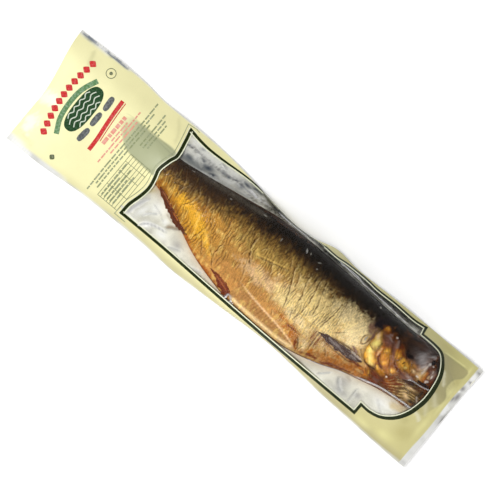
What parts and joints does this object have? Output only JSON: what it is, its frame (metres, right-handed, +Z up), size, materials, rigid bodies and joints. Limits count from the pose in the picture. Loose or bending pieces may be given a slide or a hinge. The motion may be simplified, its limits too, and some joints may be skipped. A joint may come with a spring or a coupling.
{
  "type": "vacuum-packed smoked herring",
  "caption": "Whole smoked herring sealed under vacuum in a long flat pouch, foil behind and printed film with a clear window in front.",
  "frame": {"origin": "on the table under the middle of the pouch", "axes": "+X along the pouch from its title end to the fish's snout, +Y from the belly to the back of the fish, +Z up out of the window side"},
  "size_m": [0.424, 0.1068, 0.0307],
  "materials": {
    "printed_film": "cream printed plastic film, satin",
    "clear_film": "thin clear plastic film drawn tight, glossy",
    "window_border": "very dark green ink on film, glossy",
    "print_ink": "flat printed inks on film",
    "foil": "silver laminate foil, crumpled, satin",
    "fish_skin": "smoked herring skin, dark back, golden flank, oily",
    "fish_head": "smoked head and gill cover, brown and copper",
    "fish_fin": "dried smoked fins, red-brown"
  },
  "bodies": {
    "root": {"sealed_pouch": "printed_film"}
  },
  "joints": []
}
